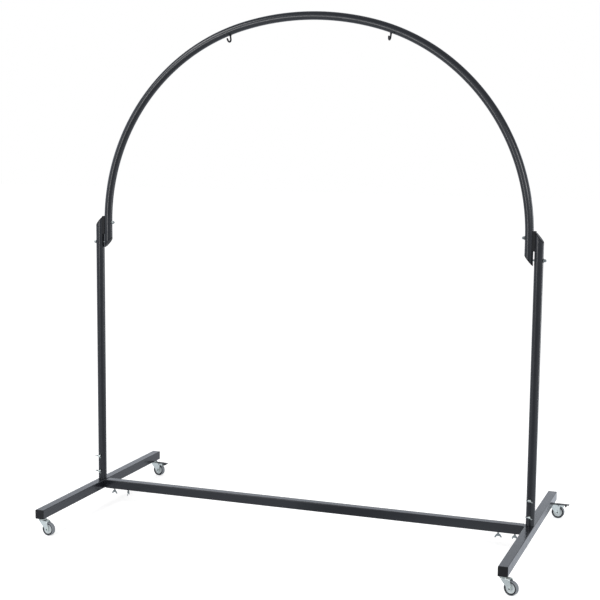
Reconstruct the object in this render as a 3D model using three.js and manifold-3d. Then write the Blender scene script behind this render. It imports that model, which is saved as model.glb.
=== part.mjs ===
import * as THREE from 'three';
import { mergeVertices } from 'three/addons/utils/BufferGeometryUtils.js';
import Module from 'manifold-3d';

const wasm = await Module();
wasm.setup();

// A gong stand on wheels: two legs and a crossbar of square tube, two round posts, a bent arch
// bolted beside them, two hooks under the arch and four swivel casters, the back two with brakes.
// Millimetres. X runs from post to post, Y along the legs and Z up. The origin is on the floor,
// midway between the posts and midway along the legs. The front is towards -Y.

// Base of square tube
const baseTube = 42;
const baseWall = 2;
const baseCorner = 3;
const sharpCorner = 0.5;
const legLength = 1200;
const postSpacing = 2120;
const crossbarGap = 8;
const crossbarSpigotLength = 150;
const postSpigotLength = 150;
const spigotWall = 2;
const weldSink = 1;
const legCapThickness = 4;
const legCapInsert = 14;

// Posts of round tube, their heights above the legs
const postDiameter = 40;
const postWall = 2;
const postHeight = 1300;
const slantDegrees = 50;
const slantCapThickness = 3;
const slantCapInsert = 6;

// Arch of round tube, beside the posts: drops are below the top of the posts
const archDiameter = 38;
const archWall = 2;
const tubeGap = 5;
const archSpringDrop = 28;
const archEndDrop = 152;
const archShoulderRadius = 946;
const archShoulderDegrees = 75;

// Joint between post and arch: drops below the top of the posts, and the spacer's rise above it
const spacerRise = 2;
const spacerHeight = 80;
const spacerWidth = 26;
const upperScrewDrop = 31;
const lowerScrewDrop = 126;
const jointShankDiameter = 8;
const jointFlangeDiameter = 18;
const jointFlangeThickness = 2;
const jointHeadAcross = 13;
const jointHeadHeight = 6;
const jointDomeRadius = 5.5;
const jointScrewReach = 3;

// Wing screws that clamp the tubes on their spigots, with places from the joint of the tubes
const wingPlaces = { near: 45, far: 120 };
const wingBossDiameter = 14;
const wingBossHeight = 5;
const wingShankDiameter = 6;
const wingNeck = 6;
const wingHubDiameter = 11;
const wingHubHeight = 8;
const wingSpan = 33;
const wingHeight = 15;
const wingThickness = 2.5;

// Hooks under the arch
const hookSpacing = 768;
const hookRod = 8;
const hookShank = 17;
const hookBend = 13;
const hookBendDegrees = 155;
const hookTip = 6;
const hookInside = 7;
const hookLeanDegrees = 7;

// Casters: stem, collar, race and swivel ring from the top down
const casterEndDistance = 30;
const stemDiameter = 10;
const stemInside = 22;
const weldNutDiameter = 18;
const weldNutHeight = 8;
const collarAcross = 17;
const collarHeight = 4;
const raceDiameter = 36;
const raceHeight = 2.5;
const swivelRingDiameter = 30;
const swivelRingHeight = 1.6;
const kingpinHeadDiameter = 16;
const kingpinHeadHeight = 2;

// Caster forks and wheels: the headroom is between the wheel and the fork's plate
const forkHeadroom = 6.8;
const casterTrail = 34;
const forkPlateDiameter = 38;
const forkPlateThickness = 2.5;
const forkPlateReach = 30;
const brakedPlateReach = 20;
const forkCheek = 2;
const forkCheekBack = 8;
const forkCheekFront = 32;
const brakedCheekFront = 46;
const forkCheekSkirt = 5;
const forkEndRadius = 9.5;
const wheelDiameter = 60;
const tyreWidth = 20;
const tyreDepth = 8;
const tyreShoulder = 2.5;
const hubDiameter = 16;
const hubLength = 22;
const rimWidth = 18;
const hubSlope = 1.5;
const axleDiameter = 8;
const axleHeadAcross = 13;
const axleHeadHeight = 5;

// Brake pedals of the back casters, with places along the trail from the swivel axis
const pedalPinPlace = 38;
const pedalPinDrop = 5;
const pedalPinDiameter = 3;
const pedalPinHeadDiameter = 7;
const pedalPinHeadHeight = 1.5;
const pedalBarrelDiameter = 6;
const pedalSwingDegrees = 8;
const leverLift = 1;
const leverThickness = 2;
const coverThickness = 2;
const coverPlace = 24;
const pedalReach = 87;
const ribPlace = 68;
const ribLength = 7;
const ribDepth = 9;

// Where the brake shoe lies on the tread, in degrees from the wheel's top
const shoeFromDegrees = 18;
const shoeToDegrees = 50;

// Clearances, and the overrun of every cut
const fitClearance = 0.3;
const seatGap = 0.3;
const sideGap = 0.5;
const overrun = 10;

// Flats and steps of the round shapes
const tubeSides = 20;
const archSides = 16;
const shoulderSteps = 14;
const topSteps = 7;
const headSides = 12;
const domeRings = 6;
const shankSides = 8;
const hexSides = 6;
const wheelSides = 24;
const hookSides = 8;
const hookSteps = 9;
const cornerSteps = 3;
const forkEndSteps = 8;
const shoeSteps = 4;

// How the wing screws, the hooks and the casters stand turned, in degrees
const postWingTurns = { left: { near: 36, far: 28 }, right: { near: 8, far: 22 } };
const crossbarWingTurns = { left: { near: 12, far: 80 }, right: { near: 25, far: -18 } };
const hookTurns = { left: -12, right: 0 };
const casterTurns = { front_left: -8, front_right: -18, back_left: -9, back_right: -2 };

// Half of a wing screw's wings, as shares of half its span and of its height
const wingShares = [
  [0.3, 0],
  [0.62, 0.2],
  [0.94, 0.6],
  [1, 0.84],
  [0.9, 1],
  [0.72, 0.97],
  [0.5, 0.72],
  [0.3, 0.6],
];

// Sizes that follow from the ones above
const radians = THREE.MathUtils.degToRad;
const slant = radians(slantDegrees);
const hookLean = radians(hookLeanDegrees);
const shoulderSweep = radians(archShoulderDegrees);
const forkBottom = wheelDiameter + forkHeadroom;
const forkTop = forkBottom + forkPlateThickness;
const swivelRingTop = forkTop + seatGap + swivelRingHeight;
const raceBottom = swivelRingTop + seatGap;
const raceTop = raceBottom + raceHeight;
const casterHeight = raceTop + collarHeight;
const legTop = casterHeight + baseTube;
const legMiddle = casterHeight + baseTube / 2;
const postX = postSpacing / 2;
const baseInside = baseTube / 2 - baseWall;
const insideCorner = Math.max(baseCorner - baseWall, sharpCorner);
const spigotHalf = baseInside - fitClearance;
const postRadius = postDiameter / 2;
const postBore = postRadius - postWall;
const archRadius = archDiameter / 2;
const archBore = archRadius - archWall;
const archHalfSpan = postX - postRadius - tubeGap - archRadius;
const archSpringHeight = postHeight - archSpringDrop;
const archEndHeight = postHeight - archEndDrop;
const upperScrewHeight = postHeight - upperScrewDrop;
const lowerScrewHeight = postHeight - lowerScrewDrop;
const shoulderCentre = archHalfSpan - archShoulderRadius;
const topRadius = archShoulderRadius + shoulderCentre / Math.cos(shoulderSweep);
const topCentreHeight = archSpringHeight - shoulderCentre * Math.tan(shoulderSweep);
const casterY = legLength / 2 - casterEndDistance;
const wheelRadius = wheelDiameter / 2;
const rimRadius = wheelRadius - tyreDepth;
const cheekInside = hubLength / 2 + sideGap;
const cheekOutside = cheekInside + forkCheek;
const pedalPinHeight = forkTop - pedalPinDrop;
const pedalHalf = cheekInside - sideGap;

// Materials
function finish(color, roughness, metalness) {
  return new THREE.MeshStandardMaterial({ color, roughness, metalness });
}

const blackPaint = finish('#2b2b2d', 0.45, 0.1);
const blackPlastic = finish('#18181a', 0.6, 0);
const blackSteel = finish('#1d1d1f', 0.45, 0.4);
const zincPlate = finish('#c3c8c9', 0.35, 0.9);
const wheelPlastic = finish('#c6cbcc', 0.45, 0);
const tyreRubber = finish('#7f8487', 0.85, 0);

// Closed three.js geometry made into a solid, and a solid made into geometry again
function solidOf(geometry) {
  geometry.deleteAttribute('normal');
  geometry.deleteAttribute('uv');
  const merged = mergeVertices(geometry);
  const corners = merged.index.array;
  const kept = [];
  for (let i = 0; i < corners.length; i += 3) {
    const [a, b, c] = corners.slice(i, i + 3);
    if (a !== b && b !== c && a !== c) kept.push(a, b, c);
  }
  const vertProperties = new Float32Array(merged.attributes.position.array);
  const triVerts = new Uint32Array(kept);
  return new wasm.Manifold(new wasm.Mesh({ numProp: 3, vertProperties, triVerts }));
}

function geometryOf(solid) {
  const mesh = solid.getMesh();
  const geometry = new THREE.BufferGeometry();
  geometry.setAttribute('position', new THREE.BufferAttribute(mesh.vertProperties, 3));
  geometry.setIndex(new THREE.BufferAttribute(mesh.triVerts, 1));
  geometry.computeVertexNormals();
  return geometry;
}

function join(...geometries) {
  return geometries.map(solidOf).reduce((sum, solid) => sum.add(solid));
}

function cut(solid, ...geometries) {
  return geometries.map(solidOf).reduce((rest, tool) => rest.subtract(tool), solid);
}

// Outlines
function arcPoints(x, y, radius, from, to, steps) {
  return Array.from({ length: steps + 1 }, (_, i) => {
    const angle = from + ((to - from) * i) / steps;
    return new THREE.Vector2(x + radius * Math.cos(angle), y + radius * Math.sin(angle));
  });
}

// A regular outline with flats, not corners, to the four sides
function roundPoints(radius, sides) {
  const half = Math.PI / sides;
  return arcPoints(0, 0, radius, half, 2 * Math.PI - half, sides - 1);
}

function squarePoints(half, corner) {
  const reach = half - corner;
  const quarters = [[1, 1], [-1, 1], [-1, -1], [1, -1]];
  return quarters.flatMap(([x, y], i) => {
    const from = (i * Math.PI) / 2;
    return arcPoints(x * reach, y * reach, corner, from, from + Math.PI / 2, cornerSteps);
  });
}

function boxPoints(left, right, bottom, top) {
  const corners = [[left, bottom], [right, bottom], [right, top], [left, top]];
  return corners.map(([x, y]) => new THREE.Vector2(x, y));
}

// Solids with a constant outline between two heights on Z
function prism(points, low, high, holePoints) {
  const shape = new THREE.Shape(points);
  if (holePoints) shape.holes.push(new THREE.Path(holePoints));
  const geometry = new THREE.ExtrudeGeometry(shape, { depth: high - low, bevelEnabled: false });
  return geometry.translate(0, 0, low);
}

function rod(radius, sides, low, high) {
  return prism(roundPoints(radius, sides), low, high);
}

// A rod whose flats, not its corners, lie at half the size across
function hexRod(across, low, high) {
  return rod(across / 2 / Math.cos(Math.PI / hexSides), hexSides, low, high);
}

// A hole that stays clear of a round shank all round
function hole(shankDiameter, low, high) {
  return rod((shankDiameter / 2 + fitClearance) / Math.cos(Math.PI / shankSides), shankSides, low, high);
}

// What is turned about Y from a profile of radii and places on Y, with flats to the four sides
function turnedRing(points) {
  const profile = points.map(([radius, y]) => new THREE.Vector2(radius, y));
  return new THREE.LatheGeometry([...profile, profile[0]], wheelSides, Math.PI / wheelSides);
}

// Turns Z to +X, to +Y and to the front
const alongX = (geometry) => geometry.rotateY(Math.PI / 2);
const alongY = (geometry) => geometry.rotateX(-Math.PI / 2);
const toFront = (geometry) => geometry.rotateX(Math.PI / 2);

// A slab between two planes that slope down outwards at the slant. Low and high are measured
// square to the slope, from the slope that a tube of the given diameter has through (x, z).
function slantSlab(side, diameter, x, z, low, high) {
  const width = 2 * slantReach(diameter);
  const slab = new THREE.BoxGeometry(width, width, high - low);
  return slab.translate(0, 0, (low + high) / 2).rotateY(side * slant).translate(side * x, 0, z);
}

function slantReach(diameter) {
  return diameter / Math.cos(slant) + overrun;
}

// A line of straights and of bends to its right, in X and Z. Each stretch takes a whole number
// of steps, so that a tube along the line has a corner exactly where a bend begins.
class BentLine extends THREE.Curve {
  constructor(x, z, heading, stretches) {
    super();
    this.start = { x, z, heading };
    this.stretches = stretches;
    this.steps = stretches.reduce((sum, stretch) => sum + stretch.steps, 0);
  }

  getUtoTmapping(u) {
    return u;
  }

  getPoint(t, target = new THREE.Vector3()) {
    let { x, z, heading } = this.start;
    let left = t * this.steps;
    for (const { length, radius, steps } of this.stretches) {
      const run = (length * Math.min(left, steps)) / steps;
      const turn = radius ? run / radius : 0;
      if (radius) {
        x += radius * (Math.sin(heading) - Math.sin(heading - turn));
        z += radius * (Math.cos(heading - turn) - Math.cos(heading));
      } else {
        x += run * Math.cos(heading);
        z += run * Math.sin(heading);
      }
      heading -= turn;
      left = Math.max(left - steps, 0);
    }
    return target.set(x, 0, z);
  }
}

function straight(length) {
  return { length, steps: 1 };
}

function bend(radius, angle, steps) {
  return { length: radius * angle, radius, steps };
}

// The leg's tube with its two spigots and the weld nuts for the caster stems, round its middle
function legSolid(side) {
  const half = legLength / 2 - legCapThickness;
  const bore = squarePoints(baseInside, insideCorner);
  const tube = alongY(prism(squarePoints(baseTube / 2, baseCorner), -half, half, bore));
  const base = baseTube / 2 - weldSink;
  const round = roundPoints(postBore - fitClearance, tubeSides);
  const roundBore = roundPoints(postBore - fitClearance - spigotWall, tubeSides);
  const postSpigot = prism(round, base, baseTube / 2 + postSpigotLength, roundBore);
  const square = squarePoints(spigotHalf, insideCorner);
  const squareBore = squarePoints(spigotHalf - spigotWall, insideCorner);
  const barEnd = baseTube / 2 + crossbarGap + crossbarSpigotLength;
  const barSpigot = alongX(prism(square, base, barEnd, squareBore));
  if (side > 0) barSpigot.rotateZ(Math.PI);
  const nuts = [-1, 1].map((end) => {
    const nut = rod(weldNutDiameter / 2, headSides, -baseInside - weldSink, -baseInside + weldNutHeight);
    return nut.translate(0, end * casterY, 0);
  });
  const holes = [-1, 1].map((end) => {
    const stemHole = hole(stemDiameter, -baseTube / 2 - overrun, -baseInside + weldNutHeight + overrun);
    return stemHole.translate(0, end * casterY, 0);
  });
  return cut(join(tube, postSpigot, barSpigot, ...nuts), ...holes);
}

function legCapSolid() {
  const tubeEnd = legLength / 2 - legCapThickness;
  const plate = prism(squarePoints(baseTube / 2, baseCorner), tubeEnd + seatGap, legLength / 2);
  const insert = prism(squarePoints(spigotHalf, insideCorner), tubeEnd - legCapInsert, tubeEnd + 2 * seatGap);
  return join(alongY(plate), alongY(insert));
}

// A welded boss for a wing screw and the hole through boss and wall, from the tube's middle on Z
function wingBoss(tubeHalf, wall) {
  return rod(wingBossDiameter / 2, headSides, tubeHalf - wall / 2, tubeHalf + wingBossHeight);
}

function wingHole(tubeHalf) {
  return hole(wingShankDiameter, 0, tubeHalf + wingBossHeight + overrun);
}

function crossbarSolid() {
  const half = postX - baseTube / 2 - crossbarGap;
  const bore = squarePoints(baseInside, insideCorner);
  const tube = alongX(prism(squarePoints(baseTube / 2, baseCorner), -half, half, bore));
  const under = [-1, 1].flatMap((side) => Object.values(wingPlaces).map((place) => side * wingX(place)));
  const bosses = under.map((x) => wingBoss(baseTube / 2, baseWall).rotateX(Math.PI).translate(x, 0, 0));
  const holes = under.map((x) => wingHole(baseTube / 2).rotateX(Math.PI).translate(x, 0, 0));
  return cut(join(tube, ...bosses), ...holes);
}

function wingX(place) {
  return postX - baseTube / 2 - place;
}

// A post round its own axis, from the top of the leg up
function postSolid(side) {
  const round = roundPoints(postRadius, tubeSides);
  const tube = prism(round, seatGap, postHeight, roundPoints(postBore, tubeSides));
  const places = Object.values(wingPlaces);
  const bosses = places.map((place) => toFront(wingBoss(postRadius, postWall)).translate(0, 0, place));
  const holes = places.map((place) => toFront(wingHole(postRadius)).translate(0, 0, place));
  const top = slantSlab(side, postDiameter, -postRadius, postHeight, -slantCapThickness - seatGap,
    slantReach(postDiameter));
  const upper = alongX(hole(jointShankDiameter, -postRadius - overrun, 0));
  if (side < 0) upper.rotateZ(Math.PI);
  const lower = alongX(hole(jointShankDiameter, -postRadius - overrun, postRadius + overrun));
  upper.translate(0, 0, upperScrewHeight);
  lower.translate(0, 0, lowerScrewHeight);
  return cut(join(tube, ...bosses), top, upper, lower, ...holes);
}

// A slanted cap on a tube's end: its plate is flush with the tube, its insert sits in the bore.
// Inwards is the way from the slope through (x, z) into the tube: -1 down, 1 up.
function slantCapSolid(side, tube, x, z, inwards) {
  const sliceOf = (radius, from, to) => {
    const reach = slantReach(tube.diameter);
    const blank = solidOf(rod(radius, tube.sides, z - reach, z + reach).translate(side * tube.x, 0, 0));
    const [low, high] = [inwards * from, inwards * to].sort((a, b) => a - b);
    return blank.intersect(solidOf(slantSlab(side, tube.diameter, x, z, low, high)));
  };
  const plate = sliceOf(tube.diameter / 2, 0, slantCapThickness);
  const insertEnd = slantCapThickness + slantCapInsert;
  return plate.add(sliceOf(tube.bore - fitClearance, slantCapThickness / 2, insertEnd));
}

// The height of the arch's line at a distance x from the middle
function archHeight(x) {
  const onTop = x < topRadius * Math.cos(shoulderSweep);
  if (onTop) return topCentreHeight + Math.sqrt(topRadius ** 2 - x ** 2);
  return archSpringHeight + Math.sqrt(archShoulderRadius ** 2 - (x - shoulderCentre) ** 2);
}

function archSolid() {
  const end = straight(archSpringHeight - archEndHeight);
  const shoulder = bend(archShoulderRadius, shoulderSweep, shoulderSteps);
  const top = bend(topRadius, Math.PI - 2 * shoulderSweep, topSteps);
  const line = new BentLine(-archHalfSpan, archEndHeight, Math.PI / 2, [end, shoulder, top, shoulder, end]);
  const shape = new THREE.Shape(roundPoints(archRadius, archSides));
  shape.holes.push(new THREE.Path(roundPoints(archBore, archSides)));
  const tube = new THREE.ExtrudeGeometry(shape, { steps: line.steps, extrudePath: line });
  const hookHeight = archHeight(hookSpacing / 2);
  const cuts = [-1, 1].flatMap((side) => {
    const endCut = slantSlab(side, archDiameter, archHalfSpan + archRadius, archEndHeight,
      -slantReach(archDiameter), slantCapThickness + seatGap);
    const upper = alongX(hole(jointShankDiameter, -archRadius - overrun, archRadius + overrun));
    const lower = alongX(hole(jointShankDiameter, 0, archRadius + overrun));
    if (side < 0) lower.rotateZ(Math.PI);
    upper.translate(side * archHalfSpan, 0, upperScrewHeight);
    lower.translate(side * archHalfSpan, 0, lowerScrewHeight);
    const hookHole = hole(hookRod, -archRadius - overrun, 0).rotateY(side * hookLean);
    hookHole.translate((side * hookSpacing) / 2, 0, hookHeight);
    return [endCut, upper, lower, hookHole];
  });
  return cut(solidOf(tube), ...cuts);
}

// The saddle between post and arch, hollowed to both tubes
function spacerSolid(side) {
  const half = spacerWidth / 2;
  const top = postHeight + spacerRise;
  const bottom = top - spacerHeight;
  const block = prism(boxPoints(archHalfSpan, postX, -half, half), bottom, top);
  const archTube = rod(archRadius + fitClearance, archSides, bottom - overrun, top + overrun);
  const postTube = rod(postRadius + fitClearance, tubeSides, bottom - overrun, top + overrun);
  const screwHole = alongX(hole(jointShankDiameter, archHalfSpan, postX)).translate(0, 0, upperScrewHeight);
  const pieces = [block, archTube.translate(archHalfSpan, 0, 0), postTube.translate(postX, 0, 0), screwHole];
  if (side < 0) pieces.forEach((piece) => piece.rotateZ(Math.PI));
  return cut(solidOf(pieces[0]), ...pieces.slice(1));
}

// A joint screw with a flange and a domed hexagon head. It bears at z = 0 and points down.
function jointScrewSolid(length) {
  const headTop = jointFlangeThickness + jointHeadHeight;
  const shank = rod(jointShankDiameter / 2, shankSides, -length, jointFlangeThickness);
  const flange = rod(jointFlangeDiameter / 2, headSides, 0, jointFlangeThickness);
  const head = hexRod(jointHeadAcross, 0, headTop);
  const dome = toFront(new THREE.SphereGeometry(jointDomeRadius, headSides, domeRings));
  return join(shank, flange, head, dome.translate(0, 0, headTop));
}

// A wing screw on Z, from the middle of its tube outwards. Its tip stops short of the spigot.
function wingScrewSolid(tubeHalf, wall) {
  const hubBase = tubeHalf + wingBossHeight + wingNeck;
  const tip = tubeHalf - wall - fitClearance + seatGap;
  const shank = rod(wingShankDiameter / 2, shankSides, tip, hubBase + wingHubHeight / 2);
  const hub = rod(wingHubDiameter / 2, shankSides, hubBase, hubBase + wingHubHeight);
  const rightHalf = wingShares.map(([x, z]) => new THREE.Vector2((x * wingSpan) / 2, z * wingHeight));
  const leftHalf = rightHalf.map((point) => new THREE.Vector2(-point.x, point.y)).reverse();
  const wings = toFront(prism([...rightHalf, ...leftHalf], -wingThickness / 2, wingThickness / 2));
  return join(shank, hub, wings.translate(0, 0, hubBase));
}

// A hook, from the middle of the arch's tube down, with its bend to the front
function hookSolid() {
  const top = hookInside - archBore;
  const shank = straight(top + archRadius + hookShank);
  const stretches = [shank, bend(hookBend, radians(hookBendDegrees), hookSteps), straight(hookTip)];
  const line = new BentLine(0, top, -Math.PI / 2, stretches);
  const shape = new THREE.Shape(roundPoints(hookRod / 2, hookSides));
  const bent = new THREE.ExtrudeGeometry(shape, { steps: line.steps, extrudePath: line });
  return solidOf(bent.rotateZ(Math.PI / 2));
}

// Caster pieces, round the swivel axis, with the trail towards +X and heights from the floor
function stemSolid() {
  const headTop = forkBottom - seatGap;
  const headBottom = headTop - kingpinHeadHeight;
  const stem = rod(stemDiameter / 2, shankSides, headBottom, casterHeight + stemInside);
  const collar = hexRod(collarAcross, raceTop, casterHeight - seatGap);
  const race = rod(raceDiameter / 2, tubeSides, raceBottom, raceTop);
  const head = rod(kingpinHeadDiameter / 2, headSides, headBottom, headTop);
  return join(stem, collar, race, head);
}

function swivelRingSolid() {
  const bottom = swivelRingTop - swivelRingHeight;
  const ring = rod(swivelRingDiameter / 2, tubeSides, bottom, swivelRingTop);
  return cut(solidOf(ring), hole(stemDiameter, bottom - overrun, swivelRingTop + overrun));
}

// The angle on a circle where a line from a point outside touches it, on one hand or the other
function touchAngle(point, centre, radius, hand) {
  const away = point.clone().sub(centre);
  return away.angle() + hand * Math.acos(radius / away.length());
}

function cheekPoints(frontPlace) {
  const axle = new THREE.Vector2(casterTrail, wheelRadius);
  const back = new THREE.Vector2(-forkCheekBack, forkBottom - forkCheekSkirt);
  const front = new THREE.Vector2(frontPlace, forkBottom);
  const from = touchAngle(back, axle, forkEndRadius, 1);
  const to = touchAngle(front, axle, forkEndRadius, -1) + 2 * Math.PI;
  const end = arcPoints(axle.x, axle.y, forkEndRadius, from, to, forkEndSteps);
  const top = [new THREE.Vector2(frontPlace, forkTop), new THREE.Vector2(-forkCheekBack, forkTop)];
  return [back, ...end, front, ...top];
}

function forkSolid(braked) {
  const disc = rod(forkPlateDiameter / 2, tubeSides, forkBottom, forkTop);
  const reach = braked ? brakedPlateReach : forkPlateReach;
  const bridge = prism(boxPoints(0, reach, -cheekOutside, cheekOutside), forkBottom, forkTop);
  const side = cheekPoints(braked ? brakedCheekFront : forkCheekFront);
  const cheeks = [cheekInside, -cheekOutside].map((y) => toFront(prism(side, y, y + forkCheek)));
  const kingpinHole = hole(stemDiameter, forkBottom - overrun, forkTop + overrun);
  const across = cheekOutside + overrun;
  const axleHole = toFront(hole(axleDiameter, -across, across)).translate(casterTrail, 0, wheelRadius);
  const holes = [kingpinHole, axleHole];
  if (braked) {
    holes.push(toFront(hole(pedalPinDiameter, -across, across)).translate(pedalPinPlace, 0, pedalPinHeight));
  }
  return cut(join(disc, bridge, ...cheeks), ...holes);
}

// The axle and the pedal's pin lie along Y, with a head outside each cheek
function crossPinSolid(shankDiameter, head, headHeight) {
  const inner = cheekOutside + seatGap;
  const outer = inner + headHeight;
  const shank = rod(shankDiameter / 2, shankSides, -outer, outer);
  return join(toFront(shank), toFront(head(inner, outer)), toFront(head(-outer, -inner)));
}

function axleSolid() {
  return crossPinSolid(axleDiameter, (low, high) => hexRod(axleHeadAcross, low, high), axleHeadHeight);
}

function pedalPinSolid() {
  const head = (low, high) => rod(pedalPinHeadDiameter / 2, headSides, low, high);
  return crossPinSolid(pedalPinDiameter, head, pedalPinHeadHeight);
}

function wheelSolid() {
  const bore = (axleDiameter / 2 + fitClearance) / Math.cos(Math.PI / wheelSides);
  const hub = hubDiameter / 2;
  const [hubHalf, rimHalf] = [hubLength / 2, rimWidth / 2];
  return solidOf(turnedRing([
    [bore, -hubHalf],
    [hub, -hubHalf],
    [hub + hubSlope, -rimHalf],
    [rimRadius, -rimHalf],
    [rimRadius, rimHalf],
    [hub + hubSlope, rimHalf],
    [hub, hubHalf],
    [bore, hubHalf],
  ]));
}

// The tread's flats, not its corners, lie at the wheel's radius, so that the wheel stands on one
function tyreSolid() {
  const half = tyreWidth / 2;
  const inner = rimRadius + seatGap;
  const tread = wheelRadius / Math.cos(Math.PI / wheelSides);
  return solidOf(turnedRing([
    [inner, -half],
    [tread - tyreShoulder, -half],
    [tread, tyreShoulder - half],
    [tread, half - tyreShoulder],
    [tread - tyreShoulder, half],
    [inner, half],
  ]));
}

// The side of the brake shoe, round the pedal's pin. It lies on the tread when the pedal is down,
// and at rest it is swung up with the pedal.
function shoePoints(top) {
  const pin = new THREE.Vector2();
  const axle = new THREE.Vector2(casterTrail - pedalPinPlace, wheelRadius - pedalPinHeight);
  const reach = wheelRadius / Math.cos(Math.PI / wheelSides) + seatGap;
  const [from, to] = [shoeFromDegrees, shoeToDegrees].map((degrees) => Math.PI / 2 - radians(degrees));
  const face = arcPoints(axle.x, axle.y, reach, from, to, shoeSteps);
  face.forEach((point) => point.rotateAround(pin, radians(pedalSwingDegrees)));
  return [...face, new THREE.Vector2(face[shoeSteps].x, top), new THREE.Vector2(face[0].x, top)];
}

// The brake lever with its shoe, round the pedal's pin
function brakeLeverSolid() {
  const end = ribPlace - seatGap - pedalPinPlace;
  const plate = boxPoints(-pedalBarrelDiameter / 2, end, leverLift, leverLift + leverThickness);
  const shoe = shoePoints(leverLift + leverThickness / 2);
  const plates = [plate, shoe].map((points) => toFront(prism(points, -pedalHalf, pedalHalf)));
  const barrel = toFront(rod(pedalBarrelDiameter / 2, headSides, -pedalHalf, pedalHalf));
  const pinHole = hole(pedalPinDiameter, -pedalHalf - overrun, pedalHalf + overrun);
  return cut(join(barrel, ...plates), toFront(pinHole));
}

// The cover on the lever, with a rib near its tip
function pedalCoverSolid() {
  const bottom = leverLift + leverThickness + seatGap;
  const start = coverPlace - pedalPinPlace;
  const plate = boxPoints(start, pedalReach - pedalPinPlace, bottom, bottom + coverThickness);
  const ribStart = ribPlace - pedalPinPlace;
  const rib = boxPoints(ribStart, ribStart + ribLength, bottom - ribDepth, bottom + coverThickness / 2);
  return join(...[plate, rib].map((points) => toFront(prism(points, -pedalHalf, pedalHalf))));
}

// Assembly
const stand = new THREE.Group();

function addPiece(parent, name, solid, material) {
  const mesh = new THREE.Mesh(geometryOf(solid), material.clone());
  mesh.name = name;
  parent.add(mesh);
  return mesh;
}

function addGroup(parent, x, y, z) {
  const group = new THREE.Group();
  group.position.set(x, y, z);
  parent.add(group);
  return group;
}

function addLegWithPost(word, side) {
  const base = addGroup(stand, side * postX, 0, legMiddle);
  addPiece(base, `${word}_leg`, legSolid(side), blackPaint);
  addPiece(base, `${word}_leg_back_cap`, legCapSolid(), blackPlastic);
  addPiece(base, `${word}_leg_front_cap`, legCapSolid(), blackPlastic).rotation.z = Math.PI;
  const above = addGroup(stand, side * postX, 0, legTop);
  addPiece(above, `${word}_post`, postSolid(side), blackPaint);
  const tube = { diameter: postDiameter, bore: postBore, sides: tubeSides, x: 0 };
  const cap = slantCapSolid(side, tube, -postRadius, postHeight, -1);
  addPiece(above, `${word}_post_cap`, cap, blackPlastic);
}

function addArch() {
  const upper = addGroup(stand, 0, 0, legTop);
  addPiece(upper, 'arch', archSolid(), blackPaint);
  const tube = { diameter: archDiameter, bore: archBore, sides: archSides, x: archHalfSpan };
  const upperBearing = archHalfSpan - archRadius - seatGap;
  const upperLength = postX - postBore + jointScrewReach - upperBearing;
  const lowerBearing = postX + postRadius + seatGap;
  const lowerLength = lowerBearing - archHalfSpan - archBore + jointScrewReach;
  const hookHeight = archHeight(hookSpacing / 2);
  for (const [word, side] of [['left', -1], ['right', 1]]) {
    const cap = slantCapSolid(side, tube, archHalfSpan + archRadius, archEndHeight, 1);
    addPiece(upper, `${word}_arch_cap`, cap, blackPlastic);
    addPiece(upper, `${word}_spacer`, spacerSolid(side), blackPlastic);
    const upperScrew = addPiece(upper, `${word}_upper_joint_screw`, jointScrewSolid(upperLength), zincPlate);
    upperScrew.position.set(side * upperBearing, 0, upperScrewHeight);
    upperScrew.rotation.y = (-side * Math.PI) / 2;
    const lowerScrew = addPiece(upper, `${word}_lower_joint_screw`, jointScrewSolid(lowerLength), zincPlate);
    lowerScrew.position.set(side * lowerBearing, 0, lowerScrewHeight);
    lowerScrew.rotation.y = (side * Math.PI) / 2;
    const hook = addPiece(upper, `${word}_hook`, hookSolid(), blackSteel);
    hook.position.set((side * hookSpacing) / 2, 0, hookHeight);
    hook.rotation.set(0, side * hookLean, radians(hookTurns[word]));
  }
}

function addWingScrews(word, side) {
  for (const [place, distance] of Object.entries(wingPlaces)) {
    const onPost = addGroup(stand, side * postX, 0, legTop + distance);
    onPost.rotation.x = Math.PI / 2;
    const postScrew = wingScrewSolid(postRadius, postWall);
    addPiece(onPost, `${word}_post_wing_screw_${place}`, postScrew, zincPlate)
      .rotation.z = radians(postWingTurns[word][place]);
    const underBar = addGroup(stand, side * wingX(distance), 0, legMiddle);
    underBar.rotation.x = Math.PI;
    const barScrew = wingScrewSolid(baseTube / 2, baseWall);
    addPiece(underBar, `${word}_crossbar_wing_screw_${place}`, barScrew, zincPlate)
      .rotation.z = radians(crossbarWingTurns[word][place]);
  }
}

function addCaster(name, side, end) {
  const braked = end > 0;
  const caster = addGroup(stand, side * postX, end * casterY, 0);
  addPiece(caster, `${name}_caster_stem`, stemSolid(), zincPlate);
  addPiece(caster, `${name}_swivel_ring`, swivelRingSolid(), zincPlate);
  const turned = addGroup(caster, 0, 0, 0);
  turned.rotation.z = radians(casterTurns[name]);
  addPiece(turned, `${name}_fork`, forkSolid(braked), zincPlate);
  const wheelPlace = addGroup(turned, casterTrail, 0, wheelRadius);
  addPiece(wheelPlace, `${name}_axle`, axleSolid(), zincPlate);
  addPiece(wheelPlace, `${name}_wheel`, wheelSolid(), wheelPlastic);
  addPiece(wheelPlace, `${name}_tyre`, tyreSolid(), tyreRubber);
  if (!braked) return;
  const pinPlace = addGroup(turned, pedalPinPlace, 0, pedalPinHeight);
  addPiece(pinPlace, `${name}_brake_lever`, brakeLeverSolid(), zincPlate);
  addPiece(pinPlace, `${name}_pedal_cover`, pedalCoverSolid(), blackPlastic);
  addPiece(pinPlace, `${name}_pedal_pin`, pedalPinSolid(), zincPlate);
}

for (const [word, side] of [['left', -1], ['right', 1]]) {
  addLegWithPost(word, side);
  addWingScrews(word, side);
  addCaster(`front_${word}`, side, -1);
  addCaster(`back_${word}`, side, 1);
}
addPiece(addGroup(stand, 0, 0, legMiddle), 'crossbar', crossbarSolid(), blackPaint);
addArch();

export default stand;
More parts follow.
